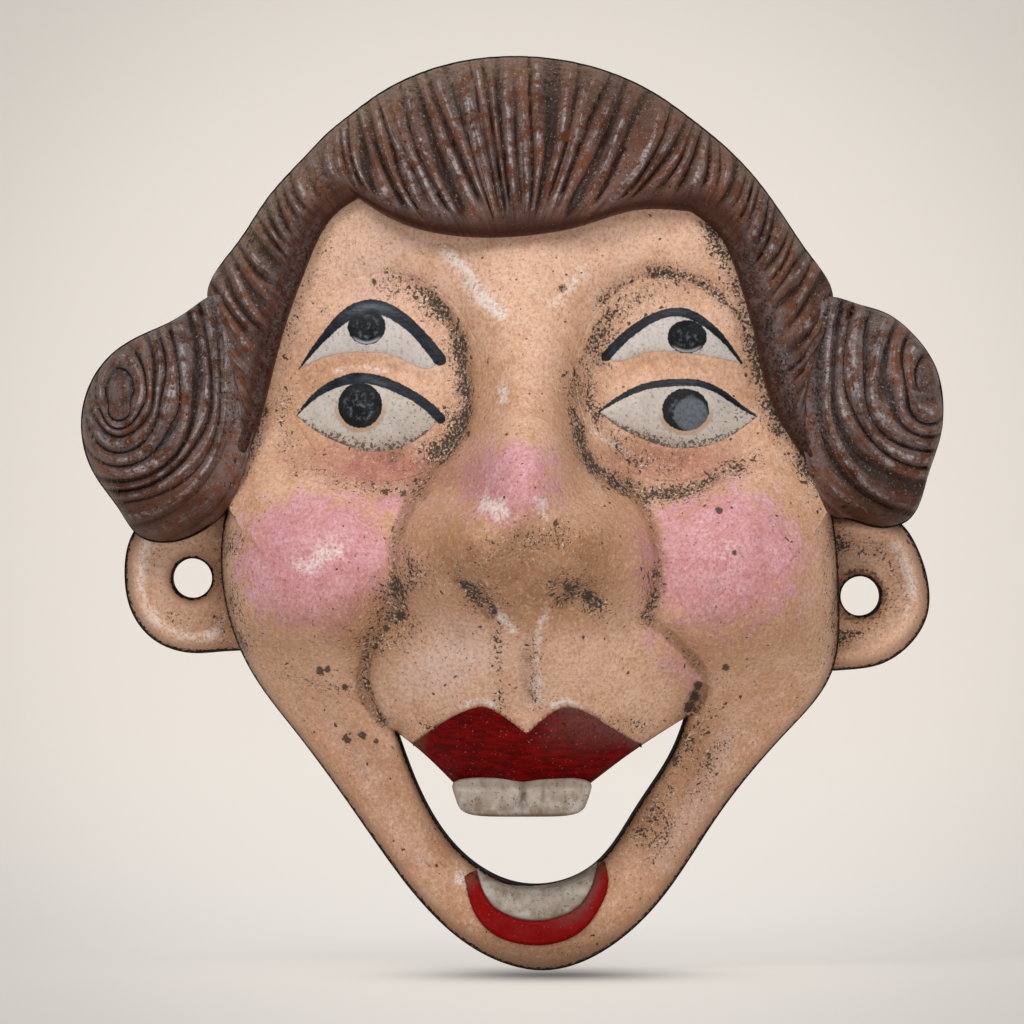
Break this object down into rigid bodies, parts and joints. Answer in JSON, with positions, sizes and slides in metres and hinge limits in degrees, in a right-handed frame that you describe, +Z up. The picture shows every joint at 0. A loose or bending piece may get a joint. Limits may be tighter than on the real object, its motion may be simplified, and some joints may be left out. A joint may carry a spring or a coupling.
{
  "type": "cast wall face",
  "caption": "Hollow-backed cast wall face with an open mouth, tiered eyes, rolled hair and two screw ears.",
  "frame": {"origin": "on the wall plane, midway between the two screw holes of the ears", "axes": "+Z up from chin to crown, -Y out of the wall through the nose, +X towards the right-hand side seen from the front"},
  "size_m": [0.096, 0.0342, 0.102],
  "materials": {
    "skin": "semi-gloss orange-tan enamel over sand-cast iron, rouged and worn",
    "hair": "dark brown enamel over sand-cast iron, worn red-brown on the ridges",
    "eye_white": "off-white enamel with painted pupils and lash lines",
    "lip": "dark red enamel",
    "tooth": "worn off-white enamel with brown stain"
  },
  "bodies": {
    "root": {"face_shell": "skin", "hair_crown": "hair", "hair_roll_left": "hair", "hair_roll_right": "hair", "ear_left": "skin", "ear_right": "skin", "eye_pad_left": "skin", "eye_pad_right": "skin", "upper_eye_left": "eye_white", "upper_eye_right": "eye_white", "lower_eye_left": "eye_white", "lower_eye_right": "eye_white", "upper_lip": "lip", "upper_teeth": "tooth", "lower_lip": "lip", "lower_teeth": "tooth"}
  },
  "joints": []
}
